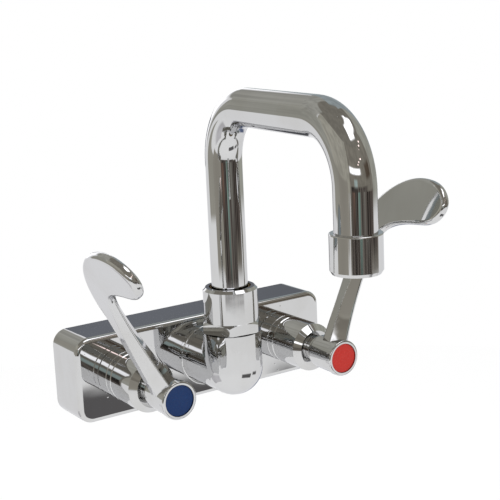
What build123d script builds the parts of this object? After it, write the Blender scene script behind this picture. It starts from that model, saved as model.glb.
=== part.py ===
from build123d import *
from math import cos, radians, sin
import os

os.makedirs("parts", exist_ok=True)

# Wall faucet with two quarter-turn valves, wrist-blade handles and a swinging spout.
# Millimetres. +X is to the right, +Z is up and the wall is the plane y = 0, so the faucet
# stands out toward -Y. The origin is on the wall, midway between the two inlets.
# A "station" is a distance from the wall, so a piece at station s lies at y = -s.

# ---------------------------------------------------------------- fits and clearances
running_fit = 0.08          # radial, a shaft that turns in its bore
thread_fit = 0.10           # radial, between mating threads modelled as plain walls
slip_fit = 0.05             # radial, pieces pushed together by hand
face_gap = 0.05             # between two faces that slide on each other
slide_gap = 0.10            # between a turning shoulder and the face that carries it
turning_gap = 0.30          # between a turning piece and a fixed one beside it
end_gap = 0.20              # left at the end of a stem, clip or cartridge seat

# ---------------------------------------------------------------- body casting
valve_spacing = 101.6       # 4 in rough-in, inlets and valves on the same axes
body_length = 155.5
body_height = 45.5
body_depth = 27.0
body_corner = 8.0           # corners seen from the front
body_edge = 2.5             # rounding of the front face's rim
inlet_radius = 9.13         # 1/2 in pipe thread at its minor diameter
inlet_depth = 13.5
inlet_lead_in = 1.5         # countersink at the mouth of each inlet
seat_wall = 2.0             # wall between an inlet and its valve chamber
port_radius = 4.5
passage_radius = 4.0        # cross passage that joins both valves to the outlet
boss_radius = 13.2
boss_height = 4.5
boss_edge = 0.6
valve_bore_radius = 9.6

# ---------------------------------------------------------------- valve cartridge
seal_thickness = 1.5
disc_radius = 7.9
disc_thickness = 2.5
disc_port_radius = 2.3
disc_port_offset = 4.2      # from the valve axis to the middle of a disc port
tongue_width = 3.0
tongue_length = 11.0
tongue_depth = 1.0
disc_standoff = 0.8         # room for water between the moving disc and the stem flange
stem_flange_radius = 6.5
stem_flange_thickness = 2.9
flange_radius = 11.2
flange_thickness = 2.5
barrel_radius = 8.2
sleeve_radius = 7.0
window_width = 6.0          # along the valve axis
window_height = 7.0
stem_radius = 4.0
stem_square = 6.0           # across the flats of the handle drive
stem_square_length = 9.5
stem_tap_depth = 11.0
o_ring_section = 1.1
o_ring_station = 48.0
clip_radius = 8.0
clip_thickness = 1.0
clip_groove_depth = 0.5

# ---------------------------------------------------------------- lock ring and bonnet
lock_ring_thickness = 5.0
lock_ring_edge = 0.6
bonnet_radius = 13.2
bonnet_nose_radius = 9.9
bonnet_length = 22.5
bonnet_thread_length = 5.5
bonnet_front_wall = 5.0
bonnet_cavity_radius = 10.8
bonnet_edge = 0.5
barrel_gap = 0.5            # inside the bonnet, ahead of the cartridge's barrel
sleeve_proud = 3.3          # cartridge sleeve standing out of the bonnet

# ---------------------------------------------------------------- handle
left_handle_angle = -31.5   # blade from straight up, toward +X is positive
right_handle_angle = 17.6
hub_length = 18.5
hub_rear_radius = 8.9
hub_front_radius = 9.3
hub_neck_radius = 7.0
hub_neck_length = 1.4
rim_radius = 9.67
rim_length = 3.4
rim_edge = 0.8
index_radius = 7.93
index_recess = 2.3
index_thickness = 1.7
index_edge = 0.3
snap_ring_wall = 0.6
screw_shank_radius = 2.0
screw_shank_length = 10.0
screw_head_radius = 3.6
screw_head_height = 2.2
screw_drive = 2.5           # across the flats of the hexagon socket
screw_web = 2.5             # web of the hub clamped by the screw
screw_clearance = 0.3

# Blade, measured forward from the hub's front face and outward from the valve axis
blade_thickness = 5.0
blade_edge = 2.1
blade_foot_height = 46.0    # the plate fades into the stem here
blade_foot_back = -10.6
blade_foot_front = -0.5
blade_crest = 34.4
blade_top = 100.8
blade_tip = 50.9
blade_tip_height = 88.5
blade_chin = 32.0
blade_underside = 76.9

# Stem between hub and blade: at its root in the hub, and at its neck inside the blade
stem_root_height = 5.0
stem_root_back = -13.6
stem_root_side = -7.0       # front edge of the flat side face
stem_root_ridge = -0.6
stem_root_thickness = 13.0
stem_neck_height = 70.0
stem_neck_back = -9.2
stem_neck_side = 5.2
stem_neck_ridge = 9.0
stem_neck_thickness = 4.4
stem_edge = 1.2             # rounding of the stem's two back edges
stem_ridge_edge = 0.9       # rounding of the ridge and of the edges beside it
stem_sections = 5

# ---------------------------------------------------------------- outlet elbow and nut
riser_station = 54.0        # wall to the spout's swing axis
elbow_radius = 15.3
elbow_blend = 3.5
seat_ring_radius = 16.7
seat_ring_thickness = 1.6
seat_ring_edge = 0.6
spigot_radius = 10.0
spigot_depth = 4.8
waterway_radius = 8.0
barrel_top = 19.5
neck_radius = 12.0
neck_top = 34.0
socket_radius = 10.5
socket_floor = 11.0
nut_gap = 0.5
nut_flats = 28.6            # across the flats of the hexagon
nut_turn = 53.0             # one corner's angle from +X
nut_hexagon_height = 5.6
nut_radius = 14.3
nut_top = 43.5
nut_lip = 2.6
nut_mouth_radius = 11.0
nut_edge = 1.4
nut_seat_chamfer = 0.6      # under the hexagon
nut_corner_drop = 1.4       # height of the turned-off corners above it

# ---------------------------------------------------------------- spout
spout_swing = -6.2          # arm from straight out, toward +X is positive
tube_radius = 9.525         # 3/4 in tube
tube_wall = 1.2
arm_height = 137.6
arm_reach = 121.7
bend_radius = 28.6
thrust_washer_thickness = 1.0
journal_bottom = 13.0
journal_bore = 7.5
journal_ring_section = 1.6
journal_ring_height = 3.0   # journal's lower end to its first ring
journal_ring_pitch = 5.5
tube_seat_bottom = 28.0
shoulder_radius = 11.8

# ---------------------------------------------------------------- outlet end
collar_radius = 11.7
collar_bottom = 73.0
collar_top = 90.5
collar_top_edge = 0.6
collar_bottom_edge = 1.6    # chamfer's width up the collar
collar_bottom_inset = 1.0   # and in toward its bore
aerator_bore = 10.0
aerator_room = 6.5          # depth of the thread inside the collar
collar_lip = 1.5            # stop between the tube and the aerator washer
collar_lip_radius = 8.5
aerator_washer_thickness = 1.2
aerator_setback = 0.8       # the insert stays above the collar's rim
aerator_holes = 8
aerator_hole_radius = 1.3
aerator_hole_circle = 5.6
screen_thickness = 0.4
screen_hole_radius = 0.8
screen_pitch = 2.6
screen_rows = 5

# ---------------------------------------------------------------- stations and heights worked out
chamber_floor = inlet_depth + seat_wall
cartridge_rear = chamber_floor + seal_thickness
fixed_disc_front = cartridge_rear + disc_thickness
moving_disc_rear = fixed_disc_front + face_gap
moving_disc_front = moving_disc_rear + disc_thickness
stem_flange_rear = moving_disc_front + disc_standoff
stem_flange_front = stem_flange_rear + stem_flange_thickness
chamber_front = stem_flange_front + end_gap
passage_station = (moving_disc_rear + chamber_front) / 2
boss_face = body_depth + boss_height
flange_front = boss_face + flange_thickness
bonnet_rear = boss_face + lock_ring_thickness
bonnet_front = bonnet_rear + bonnet_length
sleeve_end = bonnet_front + sleeve_proud
clip_rear = sleeve_end + end_gap
clip_front = clip_rear + clip_thickness
neck_rear = clip_front + slide_gap
hub_rear = neck_rear + hub_neck_length
hub_front = hub_rear + hub_length
index_floor = hub_front - index_recess
screw_seat = index_floor - screw_head_height - screw_clearance - slip_fit
socket_end = screw_seat - screw_web
stem_end = socket_end - screw_clearance
square_start = stem_end - stem_square_length
chamber_radius = disc_radius + thread_fit
barrel_front = bonnet_front - bonnet_front_wall - barrel_gap
lower_barrel_radius = valve_bore_radius - thread_fit

seat_ring_front = body_depth + seat_ring_thickness
nut_bottom = barrel_top + nut_gap
nut_lip_bottom = nut_top - nut_lip
washer_top = neck_top + thrust_washer_thickness
shoulder_bottom = washer_top + slide_gap
shoulder_top = nut_lip_bottom - turning_gap
journal_radius = socket_radius - running_fit
journal_ring_radius = socket_radius - face_gap / 2 - journal_ring_section / 2
tube_bore = tube_radius - tube_wall
insert_top = collar_bottom + aerator_room - aerator_washer_thickness
tube_end = collar_bottom + aerator_room + collar_lip
insert_bottom = collar_bottom + aerator_setback

# ---------------------------------------------------------------- planes
arm_direction = Vector(sin(radians(spout_swing)), -cos(radians(spout_swing)), 0)
riser_foot = Vector(0, -riser_station, 0)
leg_foot = riser_foot + arm_direction * arm_reach
riser_axis = Axis(riser_foot, (0, 0, 1))
leg_axis = Axis(leg_foot, (0, 0, 1))
outlet_axis = Axis((0, 0, 0), (0, -1, 0))
riser_section = Plane(origin=riser_foot, x_dir=(1, 0, 0), z_dir=(0, -1, 0))
arm_section = Plane(origin=riser_foot, x_dir=arm_direction, z_dir=arm_direction.cross(Vector(0, 0, 1)))
leg_section = Plane(origin=leg_foot, x_dir=arm_direction, z_dir=arm_direction.cross(Vector(0, 0, 1)))
outlet_section = Plane(origin=(0, 0, 0), x_dir=(1, 0, 0), z_dir=(0, 0, -1))


def valve_side(side):
    """X of the valve axis, and the blade's angle, for the left or the right valve."""
    if side == "left":
        return -valve_spacing / 2, left_handle_angle
    return valve_spacing / 2, right_handle_angle


def valve_plane(x, station=0.0):
    """Plane square to a valve axis at a station, with its normal pointing away from the wall."""
    return Plane(origin=(x, -station, 0), x_dir=(1, 0, 0), z_dir=(0, -1, 0))


def valve_section(x):
    """Half section of a turned valve piece: local x is radius, local y is station."""
    return Plane(origin=(x, 0, 0), x_dir=(1, 0, 0), z_dir=(0, 0, -1))


def valve_axis(x):
    return Axis((x, 0, 0), (0, -1, 0))


def finish(part, name):
    """Name a piece and write it as its own file."""
    part.label = name
    export_step(part, f"parts/{name}.step")


# ================================================================ body
# A plain cast block: two pipe inlets behind, a valve chamber in front of each, and one
# cross passage that carries both waters to the outlet in the middle.
with BuildPart() as valve_body:
    with BuildSketch(Plane.XZ):
        RectangleRounded(body_length, body_height, body_corner)
    extrude(amount=body_depth)
    fillet(valve_body.faces().sort_by(Axis.Y)[0].edges(), body_edge)
    for x in (-valve_spacing / 2, valve_spacing / 2):
        with BuildSketch(valve_plane(x, body_depth)):
            Circle(boss_radius)
        extrude(amount=boss_height)
    bosses = valve_body.faces().sort_by(Axis.Y)[:2]
    fillet(bosses.edges(), boss_edge)
    for x in (-valve_spacing / 2, valve_spacing / 2):
        with BuildSketch(valve_section(x)):
            with BuildLine():
                Polyline(
                    (0, 0),
                    (inlet_radius + inlet_lead_in, 0),
                    (inlet_radius, inlet_lead_in),
                    (inlet_radius, inlet_depth),
                    (port_radius, inlet_depth),
                    (port_radius, chamber_floor),
                    (valve_bore_radius, chamber_floor),
                    (valve_bore_radius, boss_face),
                    (0, boss_face),
                    close=True,
                )
            make_face()
        revolve(axis=valve_axis(x), mode=Mode.SUBTRACT)
    with BuildSketch(Plane.YZ.offset(-valve_spacing / 2)):
        with Locations((-passage_station, 0)):
            Circle(passage_radius)
    extrude(amount=valve_spacing, mode=Mode.SUBTRACT)
    with BuildSketch(outlet_section):
        with BuildLine():
            Polyline(
                (0, passage_station),
                (waterway_radius, passage_station),
                (waterway_radius, body_depth - spigot_depth - slip_fit),
                (spigot_radius + thread_fit, body_depth - spigot_depth - slip_fit),
                (spigot_radius + thread_fit, body_depth),
                (0, body_depth),
                close=True,
            )
        make_face()
    revolve(axis=outlet_axis, mode=Mode.SUBTRACT)
finish(valve_body.part, "valve_body")

# ================================================================ outlet elbow
with BuildPart() as elbow_seat_ring:
    with BuildSketch(valve_plane(0, body_depth)):
        Circle(seat_ring_radius)
        Circle(spigot_radius + thread_fit, mode=Mode.SUBTRACT)
    extrude(amount=seat_ring_thickness)
    rim = elbow_seat_ring.faces().sort_by(Axis.Y)[0].edges().sort_by(SortBy.LENGTH)[-1]
    fillet(rim, seat_ring_edge)
finish(elbow_seat_ring.part, "elbow_seat_ring")

with BuildPart() as outlet_elbow:
    # upright barrel with a domed foot, and the threaded neck above it
    with BuildSketch(riser_section):
        with BuildLine():
            CenterArc((0, 0), elbow_radius, -90, 90)
            Polyline(
                (elbow_radius, 0),
                (elbow_radius, barrel_top),
                (neck_radius, barrel_top),
                (neck_radius, neck_top),
                (0, neck_top),
                (0, -elbow_radius),
            )
        make_face()
    revolve(axis=riser_axis)
    # level limb, a little slimmer than the dome so that it runs into it cleanly
    with BuildSketch(valve_plane(0, seat_ring_front)):
        Circle(elbow_radius - thread_fit)
    extrude(amount=riser_station - seat_ring_front)
    seams = outlet_elbow.edges().filter_by(lambda e: e.geom_type not in (GeomType.LINE, GeomType.CIRCLE))
    fillet(seams, elbow_blend)
    with BuildSketch(valve_plane(0, body_depth - spigot_depth)):
        Circle(spigot_radius)
    extrude(amount=spigot_depth + seat_ring_thickness)
    # waterway and the socket in which the spout turns
    with BuildSketch(valve_plane(0, body_depth - spigot_depth)):
        Circle(waterway_radius)
    extrude(amount=riser_station - body_depth + spigot_depth, mode=Mode.SUBTRACT)
    with BuildSketch(riser_section):
        with BuildLine():
            CenterArc((0, 0), waterway_radius, -90, 90)
            Polyline(
                (waterway_radius, 0),
                (waterway_radius, socket_floor),
                (socket_radius, socket_floor),
                (socket_radius, neck_top),
                (0, neck_top),
                (0, -waterway_radius),
            )
        make_face()
    revolve(axis=riser_axis, mode=Mode.SUBTRACT)
finish(outlet_elbow.part, "outlet_elbow")

# ================================================================ swivel nut and thrust washer
with BuildPart() as swivel_nut:
    with BuildSketch(Plane.XY.offset(nut_bottom)):
        with Locations((0, -riser_station)):
            RegularPolygon(nut_flats / 2, 6, major_radius=False, rotation=nut_turn)
    extrude(amount=nut_hexagon_height)
    # the corners of the hexagon are turned off above, as on any nut
    with BuildSketch(riser_section):
        with BuildLine():
            corner_radius = nut_flats / 2 / cos(radians(30))
            Polyline(
                (0, nut_bottom),
                (corner_radius - nut_seat_chamfer, nut_bottom),
                (corner_radius, nut_bottom + nut_seat_chamfer),
                (corner_radius, nut_bottom + nut_hexagon_height - nut_corner_drop),
                (nut_radius, nut_bottom + nut_hexagon_height),
                (0, nut_bottom + nut_hexagon_height),
                close=True,
            )
        make_face()
    revolve(axis=riser_axis, mode=Mode.INTERSECT)
    with BuildSketch(riser_section):
        with BuildLine():
            Polyline(
                (0, nut_bottom + nut_hexagon_height),
                (nut_radius, nut_bottom + nut_hexagon_height),
                (nut_radius, nut_top - nut_edge),
                (nut_radius - nut_edge, nut_top),
                (0, nut_top),
                close=True,
            )
        make_face()
    revolve(axis=riser_axis)
    with BuildSketch(riser_section):
        with BuildLine():
            Polyline(
                (0, nut_bottom),
                (neck_radius + thread_fit, nut_bottom),
                (neck_radius + thread_fit, nut_lip_bottom),
                (nut_mouth_radius, nut_lip_bottom),
                (nut_mouth_radius, nut_top),
                (0, nut_top),
                close=True,
            )
        make_face()
    revolve(axis=riser_axis, mode=Mode.SUBTRACT)
finish(swivel_nut.part, "swivel_nut")

with BuildPart() as spout_thrust_washer:
    with BuildSketch(Plane.XY.offset(neck_top)):
        with Locations((0, -riser_station)):
            Circle(neck_radius)
            Circle(socket_radius + turning_gap, mode=Mode.SUBTRACT)
    extrude(amount=thrust_washer_thickness)
finish(spout_thrust_washer.part, "spout_thrust_washer")

# ================================================================ spout
# The journal is brazed to the foot of the tube: it turns in the elbow's socket, carries two
# sealing rings and has the shoulder that the nut holds down.
first_ring = journal_bottom + journal_ring_height
ring_heights = [first_ring, first_ring + journal_ring_pitch]
ring_groove_half = journal_ring_section / 2 + slip_fit
ring_groove_radius = journal_ring_radius - journal_ring_section / 2 - slip_fit

with BuildPart() as spout_journal:
    with BuildSketch(riser_section):
        with BuildLine():
            Polyline(
                (journal_bore, journal_bottom),
                (journal_radius, journal_bottom),
                (journal_radius, shoulder_bottom),
                (shoulder_radius, shoulder_bottom),
                (shoulder_radius, shoulder_top),
                (tube_radius + slip_fit, shoulder_top),
                (tube_radius + slip_fit, tube_seat_bottom),
                (journal_bore, tube_seat_bottom),
                close=True,
            )
        make_face()
    revolve(axis=riser_axis)
    for height in ring_heights:
        with BuildSketch(Plane.XY.offset(height - ring_groove_half)):
            with Locations((0, -riser_station)):
                Circle(journal_radius + turning_gap)
                Circle(ring_groove_radius, mode=Mode.SUBTRACT)
        extrude(amount=2 * ring_groove_half, mode=Mode.SUBTRACT)
finish(spout_journal.part, "spout_journal")

with BuildPart() as spout_o_rings:
    with BuildSketch(riser_section):
        for height in ring_heights:
            with Locations((journal_ring_radius, height)):
                Circle(journal_ring_section / 2)
    revolve(axis=riser_axis)
finish(spout_o_rings.part, "spout_o_rings")

with BuildPart() as spout_tube:
    with BuildLine(arm_section) as spout_route:
        FilletPolyline(
            (0, tube_seat_bottom),
            (0, arm_height),
            (arm_reach, arm_height),
            (arm_reach, tube_end),
            radius=bend_radius,
        )
    with BuildSketch(Plane(origin=spout_route.line @ 0, z_dir=spout_route.line % 0)):
        Circle(tube_radius)
        Circle(tube_bore, mode=Mode.SUBTRACT)
    sweep()
finish(spout_tube.part, "spout_tube")

# ================================================================ outlet end
with BuildPart() as outlet_collar:
    with BuildSketch(leg_section):
        with BuildLine():
            Polyline(
                (aerator_bore, collar_bottom),
                (collar_radius, collar_bottom),
                (collar_radius, collar_top),
                (tube_radius + slip_fit, collar_top),
                (tube_radius + slip_fit, tube_end),
                (collar_lip_radius, tube_end),
                (collar_lip_radius, tube_end - collar_lip),
                (aerator_bore, tube_end - collar_lip),
                close=True,
            )
        make_face()
    revolve(axis=leg_axis)
    outer_rims = outlet_collar.edges().filter_by(GeomType.CIRCLE).filter_by(
        lambda e: abs(e.radius - collar_radius) < slip_fit
    )
    fillet(outer_rims.sort_by(Axis.Z)[-1], collar_top_edge)
    chamfer(outer_rims.sort_by(Axis.Z)[0], length=collar_bottom_edge, length2=collar_bottom_inset)
finish(outlet_collar.part, "outlet_collar")

with BuildPart() as aerator_washer:
    with BuildSketch(Plane(origin=leg_foot + Vector(0, 0, insert_top))):
        Circle(aerator_bore - slip_fit)
        Circle(collar_lip_radius, mode=Mode.SUBTRACT)
    extrude(amount=aerator_washer_thickness)
finish(aerator_washer.part, "aerator_washer")

with BuildPart() as aerator_insert:
    with BuildSketch(Plane(origin=leg_foot + Vector(0, 0, insert_bottom))):
        Circle(aerator_bore - thread_fit)
    extrude(amount=insert_top - insert_bottom)
    with BuildSketch(Plane(origin=leg_foot + Vector(0, 0, insert_bottom))):
        with PolarLocations(aerator_hole_circle, aerator_holes):
            Circle(aerator_hole_radius)
        Circle(aerator_hole_radius)
    extrude(amount=insert_top - insert_bottom, mode=Mode.SUBTRACT)
    with BuildSketch(Plane(origin=leg_foot + Vector(0, 0, insert_bottom))):
        Circle(aerator_hole_circle + 2 * aerator_hole_radius)
        Circle(aerator_hole_circle - 2 * aerator_hole_radius, mode=Mode.SUBTRACT)
    extrude(amount=aerator_setback, mode=Mode.SUBTRACT)
finish(aerator_insert.part, "aerator_insert")

with BuildPart() as aerator_screen:
    with BuildSketch(Plane(origin=leg_foot + Vector(0, 0, insert_top))):
        Circle(collar_lip_radius - thread_fit)
        with HexLocations(screen_pitch / 2, screen_rows, screen_rows):
            Circle(screen_hole_radius, mode=Mode.SUBTRACT)
    extrude(amount=screen_thickness)
finish(aerator_screen.part, "aerator_screen")


# ================================================================ valve cartridges
def make_seat_seal(side):
    x, _ = valve_side(side)
    with BuildPart() as seal:
        with BuildSketch(valve_plane(x, chamber_floor)):
            Circle(valve_bore_radius - slip_fit)
            Circle(port_radius + thread_fit, mode=Mode.SUBTRACT)
        extrude(amount=seal_thickness)
    finish(seal.part, f"{side}_seat_seal")


def make_cartridge_body(side):
    """Brass body: discs in its mouth, side windows for the water, a sleeve for the stem."""
    x, _ = valve_side(side)
    with BuildPart() as body:
        with BuildSketch(valve_section(x)):
            with BuildLine():
                Polyline(
                    (chamber_radius, cartridge_rear),
                    (lower_barrel_radius, cartridge_rear),
                    (lower_barrel_radius, boss_face),
                    (flange_radius, boss_face),
                    (flange_radius, flange_front),
                    (barrel_radius, flange_front),
                    (barrel_radius, barrel_front),
                    (sleeve_radius, barrel_front),
                    (sleeve_radius, sleeve_end),
                    (stem_radius + running_fit, sleeve_end),
                    (stem_radius + running_fit, chamber_front),
                    (chamber_radius, chamber_front),
                    close=True,
                )
            make_face()
        revolve(axis=valve_axis(x))
        with BuildSketch(Plane.YZ.offset(x - valve_bore_radius)):
            with Locations((-passage_station, 0)):
                Rectangle(window_width, window_height)
        extrude(amount=2 * valve_bore_radius, mode=Mode.SUBTRACT)
    finish(body.part, f"{side}_cartridge_body")


def make_fixed_disc(side):
    x, _ = valve_side(side)
    with BuildPart() as disc:
        with BuildSketch(valve_plane(x, cartridge_rear)):
            Circle(disc_radius)
            with Locations((0, disc_port_offset), (0, -disc_port_offset)):
                Circle(disc_port_radius, mode=Mode.SUBTRACT)
        extrude(amount=disc_thickness)
    finish(disc.part, f"{side}_fixed_disc")


def make_moving_disc(side):
    """Its ports lie across those of the fixed disc while the valve is shut."""
    x, _ = valve_side(side)
    with BuildPart() as disc:
        with BuildSketch(valve_plane(x, moving_disc_rear)):
            Circle(disc_radius - 2 * slip_fit)
            with Locations((disc_port_offset, 0), (-disc_port_offset, 0)):
                Circle(disc_port_radius, mode=Mode.SUBTRACT)
        extrude(amount=disc_thickness)
        with BuildSketch(valve_plane(x, moving_disc_front - tongue_depth - slip_fit)):
            Rectangle(tongue_width + 2 * slip_fit, tongue_length + 2 * slip_fit)
        extrude(amount=tongue_depth + slip_fit, mode=Mode.SUBTRACT)
    finish(disc.part, f"{side}_moving_disc")


def make_cartridge_stem(side):
    """Tongue into the moving disc, retaining flange, round shaft, square drive, tapped end."""
    x, _ = valve_side(side)
    groove_radius = stem_radius + running_fit - face_gap - o_ring_section - slip_fit
    with BuildPart() as stem:
        with BuildSketch(valve_plane(x, moving_disc_front - tongue_depth)):
            Rectangle(tongue_width, tongue_length)
        extrude(amount=tongue_depth + disc_standoff)
        with BuildSketch(valve_section(x)):
            with BuildLine():
                Polyline(
                    (0, stem_flange_rear),
                    (stem_flange_radius, stem_flange_rear),
                    (stem_flange_radius, stem_flange_front),
                    (stem_radius, stem_flange_front),
                    (stem_radius, o_ring_station - o_ring_section / 2 - slip_fit),
                    (groove_radius, o_ring_station - o_ring_section / 2 - slip_fit),
                    (groove_radius, o_ring_station + o_ring_section / 2 + slip_fit),
                    (stem_radius, o_ring_station + o_ring_section / 2 + slip_fit),
                    (stem_radius, clip_rear),
                    (stem_radius - clip_groove_depth, clip_rear),
                    (stem_radius - clip_groove_depth, clip_front),
                    (stem_radius, clip_front),
                    (stem_radius, square_start),
                    (0, square_start),
                    close=True,
                )
            make_face()
        revolve(axis=valve_axis(x))
        with BuildSketch(valve_plane(x, square_start)):
            Circle(stem_radius)
            Rectangle(stem_square, stem_square, mode=Mode.INTERSECT)
        extrude(amount=stem_square_length)
        with BuildSketch(valve_plane(x, stem_end - stem_tap_depth)):
            Circle(screw_shank_radius + slip_fit)
        extrude(amount=stem_tap_depth, mode=Mode.SUBTRACT)
    finish(stem.part, f"{side}_cartridge_stem")


def make_stem_o_ring(side):
    x, _ = valve_side(side)
    with BuildPart() as ring:
        with BuildSketch(valve_section(x)):
            with Locations((stem_radius + running_fit - face_gap - o_ring_section / 2, o_ring_station)):
                Circle(o_ring_section / 2)
        revolve(axis=valve_axis(x))
    finish(ring.part, f"{side}_stem_o_ring")


def make_stem_clip(side):
    """Snap washer in the stem's groove, seen as a bright ring behind the hub."""
    x, _ = valve_side(side)
    with BuildPart() as clip:
        with BuildSketch(valve_plane(x, clip_rear)):
            Circle(clip_radius)
            Circle(stem_radius - clip_groove_depth + slip_fit, mode=Mode.SUBTRACT)
            with Locations((0, -clip_radius)):
                Rectangle(stem_radius, 2 * (clip_radius - stem_radius / 2), mode=Mode.SUBTRACT)
        extrude(amount=clip_thickness)
    finish(clip.part, f"{side}_stem_clip")


# ================================================================ lock rings and bonnets
def make_lock_ring(side):
    """Clamps the cartridge's flange against the body's boss."""
    x, _ = valve_side(side)
    with BuildPart() as ring:
        with BuildSketch(valve_section(x)):
            with BuildLine():
                Polyline(
                    (flange_radius + thread_fit, boss_face),
                    (bonnet_radius - lock_ring_edge, boss_face),
                    (bonnet_radius, boss_face + lock_ring_edge),
                    (bonnet_radius, bonnet_rear - lock_ring_edge),
                    (bonnet_radius - lock_ring_edge, bonnet_rear),
                    (barrel_radius + thread_fit, bonnet_rear),
                    (barrel_radius + thread_fit, flange_front),
                    (flange_radius + thread_fit, flange_front),
                    close=True,
                )
            make_face()
        revolve(axis=valve_axis(x))
    finish(ring.part, f"{side}_lock_ring")


def make_bonnet(side):
    """Hollow nut with a 45 degree nose, threaded onto the cartridge behind."""
    x, _ = valve_side(side)
    nose = bonnet_radius - bonnet_nose_radius
    cavity_rear = bonnet_rear + bonnet_thread_length
    cavity_front = bonnet_front - bonnet_front_wall
    with BuildPart() as bonnet:
        with BuildSketch(valve_section(x)):
            with BuildLine():
                Polyline(
                    (barrel_radius + thread_fit, bonnet_rear),
                    (bonnet_radius - bonnet_edge, bonnet_rear),
                    (bonnet_radius, bonnet_rear + bonnet_edge),
                    (bonnet_radius, bonnet_front - nose),
                    (bonnet_nose_radius, bonnet_front),
                    (sleeve_radius + thread_fit, bonnet_front),
                    (sleeve_radius + thread_fit, cavity_front),
                    (bonnet_cavity_radius, cavity_front),
                    (bonnet_cavity_radius, cavity_rear),
                    (barrel_radius + thread_fit, cavity_rear),
                    close=True,
                )
            make_face()
        revolve(axis=valve_axis(x))
    finish(bonnet.part, f"{side}_bonnet")


# ================================================================ handles
def blade_plane(x, angle):
    """Mid plane of a blade: local x runs forward from the hub's face, local y outward."""
    outward = Vector(sin(radians(angle)), 0, cos(radians(angle)))
    forward = Vector(0, -1, 0)
    return Plane(origin=(x, -hub_front, 0), x_dir=forward, z_dir=forward.cross(outward))


def along(start, end, forward, outward):
    """Point of a blade outline, by its share of the way from start to end each way."""
    return (
        start[0] + forward * (end[0] - start[0]),
        start[1] + outward * (end[1] - start[1]),
    )


def stem_profile(x, angle, share):
    """Section of the blade's stem, a share of the way from the hub to the neck of the blade.

    Flat back and sides with a two-facet front, so the front runs to a blunt ridge. The side
    faces draw in quickly above the hub and the front widens late, just under the blade."""
    outward = Vector(sin(radians(angle)), 0, cos(radians(angle)))
    height = stem_root_height + share * (stem_neck_height - stem_root_height)
    back = stem_root_back + share * (stem_neck_back - stem_root_back)
    side = stem_root_side + share**2.4 * (stem_neck_side - stem_root_side)
    ridge = stem_root_ridge + share**2.5 * (stem_neck_ridge - stem_root_ridge)
    half = (stem_neck_thickness + (1 - share) ** 1.3 * (stem_root_thickness - stem_neck_thickness)) / 2
    base = Plane(
        origin=Vector(x, -hub_front, 0) + outward * height,
        x_dir=(0, -1, 0),
        z_dir=outward,
    )
    with BuildSketch(base) as profile:
        with BuildLine():
            Polyline((back, half), (side, half), (ridge, 0), (side, -half), (back, -half), close=True)
        make_face()
        fillet(profile.vertices().sort_by(Axis.X)[:2], stem_edge)
        fillet(profile.vertices().sort_by(Axis.X)[-3:], stem_ridge_edge)
    return profile.sketch


def make_handle(side):
    """Turned hub, faceted stem and a flat hooked blade, forged in one piece."""
    x, angle = valve_side(side)
    shares = [i / (stem_sections - 1) for i in range(stem_sections)]
    sections = [stem_profile(x, angle, share) for share in shares]
    with BuildPart() as blade:
        with BuildSketch(blade_plane(x, angle).offset(-blade_thickness / 2)):
            with BuildLine():
                back_foot = (blade_foot_back, blade_foot_height)
                crest = (blade_crest, blade_top)
                tip = (blade_tip, blade_tip_height)
                chin = (blade_chin, blade_underside)
                front_foot = (blade_foot_front, blade_foot_height)
                Spline(
                    back_foot,
                    along(back_foot, crest, -0.03, 0.23),
                    along(back_foot, crest, 0.12, 0.60),
                    along(back_foot, crest, 0.47, 0.88),
                    crest,
                    along(crest, tip, 0.73, 0.33),
                    tip,
                    along(tip, chin, 0.24, 0.69),
                    chin,
                    along(chin, front_foot, 0.38, 0.06),
                    along(chin, front_foot, 0.67, 0.20),
                    along(chin, front_foot, 0.89, 0.55),
                    front_foot,
                )
                Line(front_foot, back_foot)
            make_face()
        extrude(amount=blade_thickness)
        rims = blade.edges().filter_by(lambda e: e.geom_type == GeomType.BSPLINE)
        fillet(rims, min(blade_edge, 0.45 * blade_thickness))
    with BuildPart() as handle:
        with BuildSketch(valve_section(x)):
            with BuildLine():
                Polyline(
                    (0, neck_rear),
                    (hub_neck_radius, neck_rear),
                    (hub_neck_radius, hub_rear),
                    (hub_rear_radius, hub_rear),
                    (hub_front_radius, hub_front - rim_length),
                    (rim_radius, hub_front - rim_length),
                    (rim_radius, hub_front),
                    (0, hub_front),
                    close=True,
                )
            make_face()
        revolve(axis=valve_axis(x))
        fillet(handle.faces().sort_by(Axis.Y)[0].edges(), rim_edge)
        loft(sections)
        add(blade.part)
        # drive socket behind, screw hole through the web, recess for the index button
        with BuildSketch(valve_plane(x, neck_rear)):
            Circle(stem_radius + thread_fit)
        extrude(amount=square_start - neck_rear + thread_fit, mode=Mode.SUBTRACT)
        with BuildSketch(valve_plane(x, neck_rear)):
            Circle(stem_radius + thread_fit)
            Rectangle(stem_square + 2 * slip_fit, stem_square + 2 * slip_fit, mode=Mode.INTERSECT)
        extrude(amount=socket_end - neck_rear, mode=Mode.SUBTRACT)
        with BuildSketch(valve_section(x)):
            with BuildLine():
                Polyline(
                    (0, socket_end),
                    (screw_shank_radius + screw_clearance, socket_end),
                    (screw_shank_radius + screw_clearance, screw_seat),
                    (screw_head_radius + snap_ring_wall + screw_clearance, screw_seat),
                    (screw_head_radius + snap_ring_wall + screw_clearance, index_floor),
                    (index_radius + slip_fit, index_floor),
                    (index_radius + slip_fit, hub_front),
                    (0, hub_front),
                    close=True,
                )
            make_face()
        revolve(axis=valve_axis(x), mode=Mode.SUBTRACT)
    finish(handle.part, f"{side}_handle")


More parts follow.
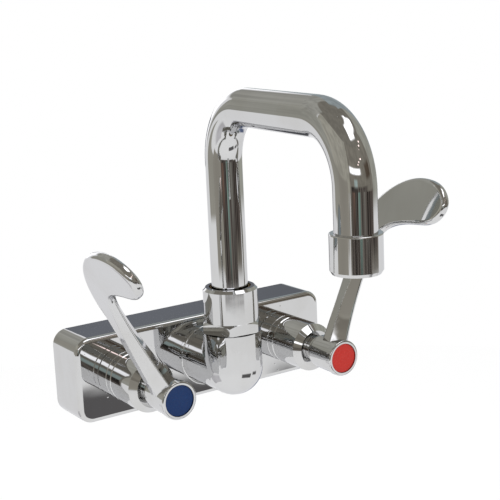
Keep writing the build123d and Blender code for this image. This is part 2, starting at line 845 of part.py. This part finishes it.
def make_handle_screw(side):
    x, _ = valve_side(side)
    with BuildPart() as screw:
        with BuildSketch(valve_plane(x, screw_seat - screw_shank_length)):
            Circle(screw_shank_radius)
        extrude(amount=screw_shank_length)
        with BuildSketch(valve_plane(x, screw_seat)):
            Circle(screw_head_radius)
        extrude(amount=screw_head_height)
        with BuildSketch(valve_plane(x, screw_seat + screw_head_height / 2)):
            RegularPolygon(screw_drive / 2, 6, major_radius=False)
        extrude(amount=screw_head_height / 2, mode=Mode.SUBTRACT)
    finish(screw.part, f"{side}_handle_screw")


def make_index_button(side):
    """Coloured disc with a softened rim and a snap ring that grips round the screw head."""
    x, _ = valve_side(side)
    inner = screw_head_radius + screw_clearance / 2
    disc_front = index_floor + index_thickness
    with BuildPart() as button:
        with BuildSketch(valve_section(x)):
            with BuildLine():
                Polyline(
                    (0, disc_front),
                    (0, index_floor),
                    (inner, index_floor),
                    (inner, index_floor - screw_head_height / 2),
                    (inner + snap_ring_wall, index_floor - screw_head_height / 2),
                    (inner + snap_ring_wall, index_floor),
                    (index_radius, index_floor),
                    (index_radius, disc_front),
                    close=True,
                )
            make_face()
        revolve(axis=valve_axis(x))
        fillet(button.faces().sort_by(Axis.Y)[0].edges(), index_edge)
    finish(button.part, f"{side}_index_button")


for side in ("left", "right"):
    make_seat_seal(side)
    make_cartridge_body(side)
    make_fixed_disc(side)
    make_moving_disc(side)
    make_cartridge_stem(side)
    make_stem_o_ring(side)
    make_stem_clip(side)
    make_lock_ring(side)
    make_bonnet(side)
    make_handle(side)
    make_handle_screw(side)
    make_index_button(side)
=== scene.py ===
import math

import bmesh
import bpy
from mathutils import Matrix, Vector


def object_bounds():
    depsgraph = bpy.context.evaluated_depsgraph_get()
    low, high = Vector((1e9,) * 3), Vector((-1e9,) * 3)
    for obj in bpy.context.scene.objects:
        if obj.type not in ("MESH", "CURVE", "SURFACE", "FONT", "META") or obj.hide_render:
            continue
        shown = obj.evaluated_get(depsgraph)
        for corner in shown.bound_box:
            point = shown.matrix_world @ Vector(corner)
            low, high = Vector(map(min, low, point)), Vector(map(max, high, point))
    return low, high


# A commercial wall faucet in polished chrome: two quarter-turn valves with wrist-blade
# handles, and a swinging gooseneck spout between them. Metres, in the frame of the packed
# model: the wall is y = 0, the faucet stands out toward -Y, and the valves lie on z = 0.
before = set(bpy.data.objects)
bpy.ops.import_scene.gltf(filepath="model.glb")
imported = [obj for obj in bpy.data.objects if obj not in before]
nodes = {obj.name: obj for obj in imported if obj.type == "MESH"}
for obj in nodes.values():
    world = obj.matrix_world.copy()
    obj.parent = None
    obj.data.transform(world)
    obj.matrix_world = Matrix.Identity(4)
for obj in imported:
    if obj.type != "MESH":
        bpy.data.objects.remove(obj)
model_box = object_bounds()
bpy.context.scene.view_settings.view_transform = "Standard"


# ------------------------------------------------------------------ valve body
# One brass casting, ground and buffed, then nickel-chrome plated outside. Buffing leaves slow
# waves and a few pits. The two inlets in its back are tapped after plating, so their threads
# are bare brass. It is held to the wall by the pipes in those inlets.
inlet_offset = 0.0508
inlet_mouth = 0.0109
thread_pitch = 0.00181


def wire(tree, value, socket):
    """Put a number, a colour or another node's output into a socket."""
    if isinstance(value, (int, float)):
        socket.default_value = value
    elif isinstance(value, tuple):
        socket.default_value = (*value, 1.0) if len(value) == 3 else value
    else:
        tree.links.new(value, socket)


def work_out(tree, operation, first, second=None, third=None, clamp=False):
    """One step of arithmetic in a material, on numbers or sockets."""
    node = tree.nodes.new("ShaderNodeMath")
    node.operation = operation
    node.use_clamp = clamp
    for socket, value in zip(node.inputs, (first, second, third)):
        if value is not None:
            wire(tree, value, socket)
    return node.outputs[0]


def fade(tree, value, start, end, low=0.0, high=1.0):
    """A value stretched from the range start to end onto low to high, with soft ends."""
    node = tree.nodes.new("ShaderNodeMapRange")
    node.interpolation_type = "SMOOTHSTEP"
    for name, number in (("From Min", start), ("From Max", end), ("To Min", low), ("To Max", high)):
        node.inputs[name].default_value = number
    wire(tree, value, node.inputs["Value"])
    return node.outputs["Result"]


def blend_colours(tree, share, first, second):
    node = tree.nodes.new("ShaderNodeMix")
    node.data_type = "RGBA"
    colour_inputs = [socket for socket in node.inputs if socket.type == "RGBA"]
    wire(tree, share, node.inputs["Factor"])
    wire(tree, first, colour_inputs[0])
    wire(tree, second, colour_inputs[1])
    return [socket for socket in node.outputs if socket.type == "RGBA"][0]


def clouds(tree, where, size, detail=3.0, roughness=0.5, stretch=(1, 1, 1)):
    """Noise whose blotches are about the given size across."""
    place = tree.nodes.new("ShaderNodeMapping")
    place.inputs["Scale"].default_value = stretch
    tree.links.new(where, place.inputs["Vector"])
    noise = tree.nodes.new("ShaderNodeTexNoise")
    noise.inputs["Scale"].default_value = 1.0 / size
    noise.inputs["Detail"].default_value = detail
    noise.inputs["Roughness"].default_value = roughness
    tree.links.new(place.outputs[0], noise.inputs["Vector"])
    return noise.outputs["Fac"]


def dents(tree, height, depth, under=None):
    """Bump of a height pattern; a second one is laid over the first by its normal."""
    bump = tree.nodes.new("ShaderNodeBump")
    bump.inputs["Distance"].default_value = depth
    tree.links.new(height, bump.inputs["Height"])
    if under is not None:
        tree.links.new(under, bump.inputs["Normal"])
    return bump.outputs["Normal"]


def bare_finish(name):
    """Empty material: its tree, its shader and its place on the object."""
    finish = bpy.data.materials.new(name)
    finish.use_nodes = True
    tree = finish.node_tree
    shader = tree.nodes["Principled BSDF"]
    where = tree.nodes.new("ShaderNodeTexCoord").outputs["Object"]
    return finish, tree, shader, where


def parts_of(tree, where):
    node = tree.nodes.new("ShaderNodeSeparateXYZ")
    tree.links.new(where, node.inputs[0])
    return node.outputs[0], node.outputs[1], node.outputs[2]


def distance_from(tree, first, second, first_middle, second_middle):
    """Radius about an axis that is square to the two given coordinates."""
    across = work_out(tree, "SUBTRACT", first, first_middle)
    up = work_out(tree, "SUBTRACT", second, second_middle)
    squares = work_out(tree, "MULTIPLY_ADD", across, across, work_out(tree, "MULTIPLY", up, up))
    return work_out(tree, "SQRT", squares)


turning_depth = 0.00000012
thread_depth = 0.0006
plate_colour = (0.61, 0.612, 0.616)
worn_plate_colour = (0.575, 0.573, 0.568)
brass_colour = (0.60, 0.42, 0.17)
tarnished_brass_colour = (0.45, 0.30, 0.12)


def plate(name, polish, wave_size, wave_depth, pit_depth=0.0, bare=None, lines=None):
    """Bright nickel-chrome plate: slow waves left by buffing, hazy smears, fine dust and,
    on a casting, pits. Where bare is 1 the brass shows; lines is the turning's own bump."""
    finish, tree, shader, where = bare_finish(name)
    shader.inputs["Metallic"].default_value = 1.0
    shader.inputs["Specular Tint"].default_value = (0.86, 0.86, 0.88, 1)
    smears = clouds(tree, where, 0.022, detail=5.0, roughness=0.62, stretch=(1, 1, 0.55))
    dust = clouds(tree, where, 0.0011, detail=2.0)
    haze = fade(tree, smears, 0.42, 0.72)
    colour = blend_colours(tree, haze, plate_colour, worn_plate_colour)
    rough = work_out(tree, "ADD", fade(tree, smears, 0.40, 0.75, polish, polish * 2.6),
                   fade(tree, dust, 0.62, 0.80, 0.0, 0.03))
    normal = dents(tree, clouds(tree, where, wave_size, detail=1.2), wave_depth)
    if pit_depth:
        cells = tree.nodes.new("ShaderNodeTexVoronoi")
        cells.inputs["Scale"].default_value = 240.0
        tree.links.new(where, cells.inputs["Vector"])
        dimple = fade(tree, cells.outputs["Distance"], 0.0, 0.16)
        rare = fade(tree, clouds(tree, where, 0.007, detail=0.0), 0.60, 0.66)
        pits = work_out(tree, "MULTIPLY_ADD", work_out(tree, "SUBTRACT", dimple, 1.0), rare, 1.0)
        normal = dents(tree, pits, pit_depth, normal)
    if lines is not None:
        normal = dents(tree, lines(tree, where), turning_depth, normal)
    if bare is not None:
        mask, relief = bare(tree, where)
        tarnish = fade(tree, clouds(tree, where, 0.006, detail=4.0), 0.35, 0.7)
        raw = blend_colours(tree, tarnish, brass_colour, tarnished_brass_colour)
        colour = blend_colours(tree, mask, colour, raw)
        rough = work_out(tree, "ADD", rough, work_out(tree, "MULTIPLY", mask, 0.27))
        if relief is not None:
            normal = dents(tree, work_out(tree, "MULTIPLY", relief, mask), thread_depth, normal)
    tree.links.new(colour, shader.inputs["Base Color"])
    tree.links.new(rough, shader.inputs["Roughness"])
    tree.links.new(normal, shader.inputs["Normal"])
    return finish


def tapped_inlets(tree, where):
    """1 inside the two inlets and the valve chambers, and the pipe thread's ridges."""
    x, y, z = parts_of(tree, where)
    radius = distance_from(tree, work_out(tree, "ABSOLUTE", x), z, inlet_offset, 0.0)
    behind = fade(tree, y, -0.0312, -0.0310)
    mask = work_out(tree, "MULTIPLY", fade(tree, radius, inlet_mouth, inlet_mouth - 0.0003), behind)
    turn = work_out(tree, "MULTIPLY", y, 2 * math.pi / thread_pitch)
    ridge = work_out(tree, "ABSOLUTE", work_out(tree, "SINE", turn))
    deep = fade(tree, y, -0.0138, -0.0134)
    return mask, work_out(tree, "MULTIPLY", ridge, deep)


def refinish(names, finish):
    """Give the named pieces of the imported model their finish."""
    for name in names:
        for slot in nodes[name].material_slots:
            slot.material = finish


refinish(["valve_body"], plate("cast_chrome_body", 0.022, 0.016, 0.00007, 0.00002, bare=tapped_inlets))


# ------------------------------------------------------------------ outlet elbow
# A second brass casting, screwed into the middle of the body with a plain turned ring
# between them. Outside it is buffed and plated as the body is; its waterway is bare.
elbow_axis = -0.054
facing_pitch = 16000.0      # radians of turning mark to the metre, across a face
turning_pitch = 15000.0     # the same along the axis


def bare_waterway(tree, where):
    x, y, z = parts_of(tree, where)
    upright = fade(tree, distance_from(tree, x, y, 0.0, elbow_axis), 0.0107, 0.0105)
    socket = work_out(tree, "MULTIPLY", upright, fade(tree, z, 0.0, 0.0005))
    level = fade(tree, distance_from(tree, x, z, 0.0, 0.0), 0.0083, 0.0081)
    level = work_out(tree, "MULTIPLY", level, fade(tree, y, -0.0625, -0.0620))
    return work_out(tree, "MAXIMUM", socket, level), None


refinish(["outlet_elbow"], plate("cast_chrome_elbow", 0.022, 0.013, 0.00009, 0.00003, bare=bare_waterway))


def turned_about_out(middle):
    """Fine turning marks, rings about an axis that stands out from the wall."""
    def marks(tree, where):
        x, y, z = parts_of(tree, where)
        radius = distance_from(tree, work_out(tree, "ABSOLUTE", x), z, middle, 0.0)
        along = work_out(tree, "MULTIPLY_ADD", radius, facing_pitch,
                         work_out(tree, "MULTIPLY", y, turning_pitch))
        return work_out(tree, "SINE", along)
    return marks


refinish(["elbow_seat_ring"], plate("turned_chrome_ring", 0.03, 0.012, 0.00002,
                                    lines=turned_about_out(0.0)))


# ------------------------------------------------------------------ swivel nut and washer
# The nut is turned from hexagon bar and plated; it holds the spout's shoulder down on a
# white nylon washer, so that the spout swings without wearing the brass.
def turned_about_upright(x_middle, y_middle):
    """Fine turning marks, rings about an upright axis."""
    def marks(tree, where):
        x, y, z = parts_of(tree, where)
        radius = distance_from(tree, x, y, x_middle, y_middle)
        along = work_out(tree, "MULTIPLY_ADD", radius, facing_pitch,
                         work_out(tree, "MULTIPLY", z, turning_pitch))
        return work_out(tree, "SINE", along)
    return marks


refinish(["swivel_nut"], plate("turned_chrome_nut", 0.028, 0.010, 0.00004, 0.0,
                               lines=turned_about_upright(0.0, elbow_axis)))


def moulded(name, colour, stained, roughness, grain_size, grain_depth):
    """Plain moulded or pressed piece: a dull skin, faint stains and a fine grain."""
    finish, tree, shader, where = bare_finish(name)
    stains = clouds(tree, where, 0.004, detail=4.0)
    skin = blend_colours(tree, fade(tree, stains, 0.35, 0.75), colour, stained)
    dull = fade(tree, stains, 0.3, 0.8, roughness, min(1.0, roughness * 1.35))
    grain = dents(tree, clouds(tree, where, grain_size, detail=2.0), grain_depth)
    tree.links.new(skin, shader.inputs["Base Color"])
    tree.links.new(dull, shader.inputs["Roughness"])
    tree.links.new(grain, shader.inputs["Normal"])
    return finish


nylon = moulded("moulded_nylon", (0.78, 0.78, 0.75), (0.66, 0.65, 0.60), 0.42, 0.0006, 0.00002)
refinish(["spout_thrust_washer"], nylon)


# ------------------------------------------------------------------ spout
# Drawn brass tube, bent twice on a mandrel, buffed along its length and plated. A machined
# brass journal is brazed to its foot and turns in the elbow on two nitrile rings.
refinish(["spout_tube"], plate("drawn_chrome_tube", 0.018, 0.030, 0.00005))


def bare_brass(name, middle, upright):
    """Machined brass: tool rings, a slight tarnish and no plate."""
    finish, tree, shader, where = bare_finish(name)
    shader.inputs["Metallic"].default_value = 1.0
    tarnish = clouds(tree, where, 0.005, detail=5.0, roughness=0.6)
    colour = blend_colours(tree, fade(tree, tarnish, 0.38, 0.72), brass_colour, (0.42, 0.27, 0.11))
    rings = turned_about_upright(0.0, middle) if upright else turned_about_out(middle)
    tree.links.new(colour, shader.inputs["Base Color"])
    tree.links.new(fade(tree, tarnish, 0.3, 0.75, 0.22, 0.42), shader.inputs["Roughness"])
    tree.links.new(dents(tree, rings(tree, where), 0.00001), shader.inputs["Normal"])
    return finish


refinish(["spout_journal"], bare_brass("journal_brass", elbow_axis, True))
nitrile = moulded("black_nitrile", (0.022, 0.022, 0.023), (0.045, 0.044, 0.042), 0.45, 0.0004, 0.00001)
refinish(["spout_o_rings"], nitrile)


# ------------------------------------------------------------------ outlet end
# A turned and plated collar is soldered over the tube's end. The moulded aerator insert
# screws up into it against a nitrile washer and holds a woven stainless screen.
outlet_x = -0.01314
outlet_y = -0.17499
refinish(["outlet_collar"], plate("turned_chrome_collar", 0.028, 0.010, 0.00003,
                                  lines=turned_about_upright(outlet_x, outlet_y)))
refinish(["aerator_washer"], nitrile)
acetal = moulded("moulded_acetal", (0.52, 0.53, 0.54), (0.40, 0.41, 0.40), 0.38, 0.0005, 0.00002)
refinish(["aerator_insert"], acetal)


def steel(name, colour, roughness, scratch_stretch):
    """Plain stainless steel with fine scratches in one direction."""
    finish, tree, shader, where = bare_finish(name)
    shader.inputs["Metallic"].default_value = 1.0
    scratches = clouds(tree, where, 0.0008, detail=4.0, roughness=0.7, stretch=scratch_stretch)
    blotches = clouds(tree, where, 0.006, detail=3.0)
    dulled = (colour[0] * 0.86, colour[1] * 0.85, colour[2] * 0.82)
    patchy = blend_colours(tree, fade(tree, blotches, 0.4, 0.7), colour, dulled)
    tree.links.new(patchy, shader.inputs["Base Color"])
    tree.links.new(fade(tree, scratches, 0.3, 0.7, roughness, roughness * 1.7), shader.inputs["Roughness"])
    tree.links.new(dents(tree, scratches, 0.000008), shader.inputs["Normal"])
    return finish


refinish(["aerator_screen"], steel("screen_steel", (0.55, 0.55, 0.54), 0.24, (1, 0.2, 1)))


# ------------------------------------------------------------------ valve cartridges
# Each valve is two lapped alumina discs in a machined brass cartridge, shut off from the
# wall by a nitrile seal. The stem turns one disc. The sleeve that stands out of the bonnet
# is in sight, so that end of the brass is plated.
def plated_sleeve(tree, where):
    """1 on the cartridge's brass that the bonnet covers, 0 on its plated nose."""
    y = parts_of(tree, where)[1]
    return fade(tree, y, -0.0578, -0.0576), None


refinish(["left_cartridge_body", "right_cartridge_body"],
         plate("cartridge_plate", 0.06, 0.008, 0.00002, bare=plated_sleeve,
               lines=turned_about_out(inlet_offset)))
refinish(["left_cartridge_stem", "right_cartridge_stem"], bare_brass("stem_brass", inlet_offset, False))
refinish(["left_seat_seal", "right_seat_seal", "left_stem_o_ring", "right_stem_o_ring"], nitrile)
alumina = moulded("lapped_alumina", (0.86, 0.85, 0.82), (0.80, 0.79, 0.75), 0.16, 0.0003, 0.000004)
refinish(["left_fixed_disc", "right_fixed_disc", "left_moving_disc", "right_moving_disc"], alumina)
refinish(["left_stem_clip", "right_stem_clip"], steel("clip_steel", (0.62, 0.62, 0.61), 0.12, (1, 1, 0.3)))


# ------------------------------------------------------------------ lock rings and bonnets
# Turned from brass bar and plated. The ring clamps the cartridge in the body, and the
# bonnet over it ends in a 45 degree nose.
refinish(["left_lock_ring", "right_lock_ring", "left_bonnet", "right_bonnet"],
         plate("turned_chrome_bonnet", 0.026, 0.012, 0.00003, lines=turned_about_out(inlet_offset)))


# ------------------------------------------------------------------ wrist-blade handles
# Hub, stem and hooked blade are one hot forging, ground on a belt, buffed and plated. The
# belt leaves waves a little shorter than those of the body. A screw in the hub holds it.
refinish(["left_handle", "right_handle"], plate("forged_chrome", 0.024, 0.020, 0.00009, 0.00001))
refinish(["left_handle_screw", "right_handle_screw"],
         steel("screw_steel", (0.60, 0.60, 0.60), 0.20, (0.3, 1, 1)))


def index_plastic(name, colour, faded):
    """Glossy moulded button: slight orange peel, light scuffs and a paler worn middle."""
    finish, tree, shader, where = bare_finish(name)
    x, y, z = parts_of(tree, where)
    radius = distance_from(tree, work_out(tree, "ABSOLUTE", x), z, inlet_offset, 0.0)
    scuffs = clouds(tree, where, 0.0016, detail=5.0, roughness=0.7)
    worn = work_out(tree, "MULTIPLY", fade(tree, radius, 0.008, 0.002), fade(tree, scuffs, 0.45, 0.75))
    tree.links.new(blend_colours(tree, worn, colour, faded), shader.inputs["Base Color"])
    shader.inputs["Specular IOR Level"].default_value = 0.3
    tree.links.new(fade(tree, scuffs, 0.4, 0.75, 0.20, 0.36), shader.inputs["Roughness"])
    tree.links.new(dents(tree, clouds(tree, where, 0.0009, detail=1.0), 0.000012), shader.inputs["Normal"])
    return finish


refinish(["left_index_button"], index_plastic("blue_button", (0.003, 0.026, 0.110), (0.006, 0.040, 0.140)))
refinish(["right_index_button"], index_plastic("red_button", (0.50, 0.022, 0.014), (0.54, 0.032, 0.022)))


# ------------------------------------------------------------------ floor
# A pale table, a little below the faucet. It keeps the faucet's soft shadow, and the metal
# shows it as the camera does.
floor_drop = 0.45
floor_radius = 1.6
floor_colour = (0.77, 0.77, 0.77, 1)
floor_lift_strength = 0.20
floor_mesh = bpy.data.meshes.new("floor")
floor_shape = bmesh.new()
bmesh.ops.create_circle(
    floor_shape,
    cap_ends=True,
    segments=128,
    radius=floor_radius,
    matrix=Matrix.Translation((0, -0.06, model_box[0][2] - floor_drop)),
)
floor_shape.to_mesh(floor_mesh)
floor_shape.free()
floor = bpy.data.objects.new("floor", floor_mesh)
bpy.context.scene.collection.objects.link(floor)

floor_finish = bpy.data.materials.new("pale_floor")
floor_finish.use_nodes = True
floor_tree = floor_finish.node_tree
floor_tree.nodes.clear()
floor_matt = floor_tree.nodes.new("ShaderNodeBsdfDiffuse")
floor_matt.inputs["Color"].default_value = floor_colour
floor_lift = floor_tree.nodes.new("ShaderNodeEmission")
floor_lift.inputs["Color"].default_value = (1, 1, 1, 1)
floor_rays = floor_tree.nodes.new("ShaderNodeLightPath").outputs
floor_seen = work_out(floor_tree, "ADD", floor_rays["Is Camera Ray"], floor_rays["Is Glossy Ray"])
floor_seen = work_out(floor_tree, "ADD", floor_seen, floor_rays["Is Transmission Ray"], clamp=True)
floor_tree.links.new(work_out(floor_tree, "MULTIPLY", floor_seen, floor_lift_strength),
                     floor_lift.inputs["Strength"])
floor_sum = floor_tree.nodes.new("ShaderNodeAddShader")
floor_tree.links.new(floor_matt.outputs[0], floor_sum.inputs[0])
floor_tree.links.new(floor_lift.outputs[0], floor_sum.inputs[1])
floor_out = floor_tree.nodes.new("ShaderNodeOutputMaterial")
floor_tree.links.new(floor_sum.outputs[0], floor_out.inputs[0])
floor_mesh.materials.append(floor_finish)


# ------------------------------------------------------------------ studio
# White all round, with cards hung about the faucet that only mirrors see. Chrome has no
# colour of its own: the cards give it the dim warm ceiling, the grey walls and the window.
studio = bpy.data.worlds.new("white_studio")
studio.use_nodes = True
studio.node_tree.nodes["Background"].inputs["Color"].default_value = (1, 1, 1, 1)
studio.node_tree.nodes["Background"].inputs["Strength"].default_value = 1.0
bpy.context.scene.world = studio

card_distance = 3.0
card_middle = Vector((0, -0.06, 0.05))


def hang_card(name, colour, bearing, half_width, low, high, distance=card_distance, soft=0.12, mottle=0.12):
    """Curved card about the faucet. Bearing 0 is straight out from the wall and +90 toward
    +X; low and high are degrees above the horizon. Its edges fade out over a soft share."""
    shape = bmesh.new()
    rows = 8
    columns = 16
    start = math.radians(bearing - half_width - 90)
    verts = []
    for i in range(rows + 1):
        rise = math.radians(low + (high - low) * i / rows)
        spot = Vector((math.cos(start) * math.cos(rise), math.sin(start) * math.cos(rise), math.sin(rise)))
        verts.append(shape.verts.new(card_middle + spot * distance))
    edges = [shape.edges.new(pair) for pair in zip(verts, verts[1:])]
    bmesh.ops.spin(shape, geom=verts + edges, cent=card_middle, axis=(0, 0, 1),
                   angle=math.radians(2 * half_width), steps=columns)
    mesh = bpy.data.meshes.new(name)
    shape.to_mesh(mesh)
    shape.free()
    card = bpy.data.objects.new(name, mesh)
    bpy.context.scene.collection.objects.link(card)
    card.visible_camera = False
    card.visible_diffuse = False
    card.visible_shadow = False

    finish = bpy.data.materials.new(name)
    finish.use_nodes = True
    tree = finish.node_tree
    tree.nodes.clear()
    where = tree.nodes.new("ShaderNodeTexCoord").outputs["Object"]
    x, y, z = parts_of(tree, where)
    x = work_out(tree, "SUBTRACT", x, card_middle[0])
    y = work_out(tree, "SUBTRACT", y, card_middle[1])
    z = work_out(tree, "SUBTRACT", z, card_middle[2])
    flat = distance_from(tree, x, y, 0.0, 0.0)
    rise = work_out(tree, "MULTIPLY", work_out(tree, "ARCTAN2", z, flat), math.degrees(1))
    turn = math.radians(bearing)
    ahead = work_out(tree, "SUBTRACT", work_out(tree, "MULTIPLY", x, math.sin(turn)),
                   work_out(tree, "MULTIPLY", y, math.cos(turn)))
    aside = work_out(tree, "ADD", work_out(tree, "MULTIPLY", x, math.cos(turn)),
                   work_out(tree, "MULTIPLY", y, math.sin(turn)))
    off = work_out(tree, "MULTIPLY", work_out(tree, "ARCTAN2", aside, ahead), math.degrees(1))
    off = work_out(tree, "ABSOLUTE", off)
    side_fade = max(half_width * soft, 0.5)
    rise_fade = max((high - low) * soft, 0.5)
    share = fade(tree, off, half_width, half_width - side_fade) if half_width < 179 else None
    upper = fade(tree, rise, high, high - rise_fade) if high < 89 else None
    lower = fade(tree, rise, low, low + rise_fade)
    for part in (upper, lower):
        if part is not None:
            share = part if share is None else work_out(tree, "MULTIPLY", share, part)
    streaked = mottle > 0.5
    size, squeeze = (0.20, 0.12) if streaked else (0.55, 1.0)
    blotch = clouds(tree, where, size, detail=3.0, stretch=(1, 1, squeeze))
    glow = tree.nodes.new("ShaderNodeEmission")
    glow.inputs["Color"].default_value = (*colour, 1)
    brightest = 1.0 + (4.0 if streaked else 1.0) * mottle
    tree.links.new(fade(tree, blotch, 0.35, 0.68, 1.0 - mottle, brightest), glow.inputs["Strength"])
    gap = tree.nodes.new("ShaderNodeBsdfTransparent")
    mix = tree.nodes.new("ShaderNodeMixShader")
    tree.links.new(share, mix.inputs[0])
    tree.links.new(gap.outputs[0], mix.inputs[1])
    tree.links.new(glow.outputs[0], mix.inputs[2])
    out = tree.nodes.new("ShaderNodeOutputMaterial")
    tree.links.new(mix.outputs[0], out.inputs[0])
    mesh.materials.append(finish)


# the dim room, from the ceiling down to the far edge of the table
hang_card("ceiling_card", (0.245, 0.229, 0.196), 0.0, 180.0, 38.0, 89.5, 3.6, 0.15, 0.10)
hang_card("left_wall_card", (0.450, 0.432, 0.370), -94.0, 42.0, -9.5, 47.0, 3.50, 0.03)
hang_card("front_wall_card", (0.270, 0.250, 0.212), 2.0, 62.0, -14.0, 47.0, 3.45, 0.03)
hang_card("right_wall_card", (0.450, 0.450, 0.395), 88.0, 36.0, -10.0, 47.0, 3.48, 0.03)
hang_card("right_back_card", (0.390, 0.440, 0.450), 131.0, 17.0, -6.0, 66.0, 3.3, 0.10)
hang_card("back_card", (0.430, 0.425, 0.385), 176.0, 50.0, 20.0, 56.0, 3.42, 0.10)
hang_card("left_back_card", (0.410, 0.405, 0.360), -149.0, 20.0, -5.5, 30.0, 3.40, 0.05)
hang_card("slate_card", (0.190, 0.202, 0.225), 156.0, 20.0, 1.0, 14.0, 0.36, 0.05)
hang_card("brown_corner_card", (0.115, 0.088, 0.066), 38.0, 14.0, 2.0, 25.0, 3.1, 0.3)
hang_card("dark_edge_end_card", (0.060, 0.050, 0.044), 40.0, 28.0, -13.0, -4.0, 3.05, 0.30, 0.6)
hang_card("dark_edge_card", (0.060, 0.052, 0.046), -14.0, 44.0, -15.8, -0.5, 3.0, 0.16, 0.6)
hang_card("left_edge_card", (0.170, 0.160, 0.140), -80.0, 22.0, -13.0, -7.0, 3.08, 0.40, 0.6)
hang_card("brown_card", (0.190, 0.125, 0.098), -43.0, 9.0, -11.0, -3.5, 2.95, 0.50, 0.3)
hang_card("grey_green_card", (0.260, 0.390, 0.345), -16.0, 7.0, -15.0, -3.0, 2.95, 0.60, 0.3)
hang_card("grey_card", (0.230, 0.220, 0.195), 10.0, 9.0, -13.0, -2.0, 2.95, 0.50, 0.3)
hang_card("teal_card", (0.50, 0.61, 0.59), -30.0, 9.0, -3.5, 8.5, 2.95, 0.35)
hang_card("near_left_card", (0.380, 0.358, 0.310), -77.0, 26.0, -14.0, 13.0, 0.33, 0.12)
hang_card("near_left_back_card", (0.400, 0.385, 0.335), -124.0, 24.0, -6.0, 12.0, 0.335, 0.10)

# low cards that shade the table in front, at the back and on the left
hang_card("low_dark_card", (0.120, 0.116, 0.118), 19.0, 23.0, -45.0, -30.0, 0.300, 0.20, 0.2)
hang_card("low_dark_right_card", (0.135, 0.130, 0.133), 57.0, 12.0, -38.0, -27.5, 0.305, 0.35, 0.2)
hang_card("table_shade_card", (0.620, 0.610, 0.630), -122.0, 30.0, -62.0, -21.0, 0.70, 0.25, 0.15)
hang_card("low_blue_card", (0.165, 0.205, 0.330), 133.0, 13.0, -45.0, -16.0, 0.50, 0.35, 0.2)
hang_card("far_dark_card", (0.130, 0.130, 0.142), 159.0, 13.0, -32.0, -15.0, 0.65, 0.25, 0.3)

# the lights that it mirrors: the window, a lit sheet behind, one large light overhead and a
# row of small lamps
hang_card("window_card", (2.1, 2.1, 2.15), -28.0, 30.0, 11.0, 21.0, 2.9, 0.3)
hang_card("sheet_card", (1.75, 1.75, 1.75), 165.0, 20.0, -8.0, 21.0, 3.0, 0.2, 0.03)
hang_card("overhead_lamp_card", (2.6, 2.6, 2.65), 37.0, 54.0, 52.0, 78.0, 2.9, 0.2, 0.05)
for i in range(8):
    lamp_low = 23.0 + 2.8 * i
    hang_card(f"lamp_{i}", (2.8, 2.25, 2.15), -8.0 + 7.0 * i, 2.0, lamp_low, lamp_low + 2.6, 2.8, 0.3, 0.0)


# one soft lamp for the matt pieces and for the shadow on the table
lamp = bpy.data.lights.new("soft_lamp", "AREA")
lamp.shape = "DISK"
lamp.size = 0.9
lamp.energy = 5.0
lamp_holder = bpy.data.objects.new("soft_lamp", lamp)
bpy.context.scene.collection.objects.link(lamp_holder)
lamp_holder.location = (-0.35, -0.75, 1.35)
lamp_aim = Vector((0, -0.08, 0)) - lamp_holder.location
lamp_holder.rotation_euler = lamp_aim.to_track_quat("-Z", "Y").to_euler()
lamp_holder.visible_glossy = False


# ------------------------------------------------------------------ camera
# It stands a little above the faucet, in front and to the left, as far off as the
# photograph's perspective asks, and is tilted by the same small angle.
camera_data = bpy.data.cameras.new("camera")
camera_data.sensor_width = 36.0
camera_data.lens = 84.03
camera_data.clip_start = 0.01
camera = bpy.data.objects.new("camera", camera_data)
bpy.context.scene.collection.objects.link(camera)
bpy.context.scene.camera = camera
camera_bearing = math.radians(-33.73)
camera_rise = math.radians(12.05)
camera_tilt = math.radians(-2.56)
back = Vector((
    math.sin(camera_bearing) * math.cos(camera_rise),
    -math.cos(camera_bearing) * math.cos(camera_rise),
    math.sin(camera_rise),
))
level = Vector((math.cos(camera_bearing), math.sin(camera_bearing), 0))
turned = Matrix((level, back.cross(level), back)).transposed() @ Matrix.Rotation(camera_tilt, 3, "Z")
camera.matrix_world = Matrix.Translation((-0.31850, -0.55145, 0.18796)) @ turned.to_4x4()
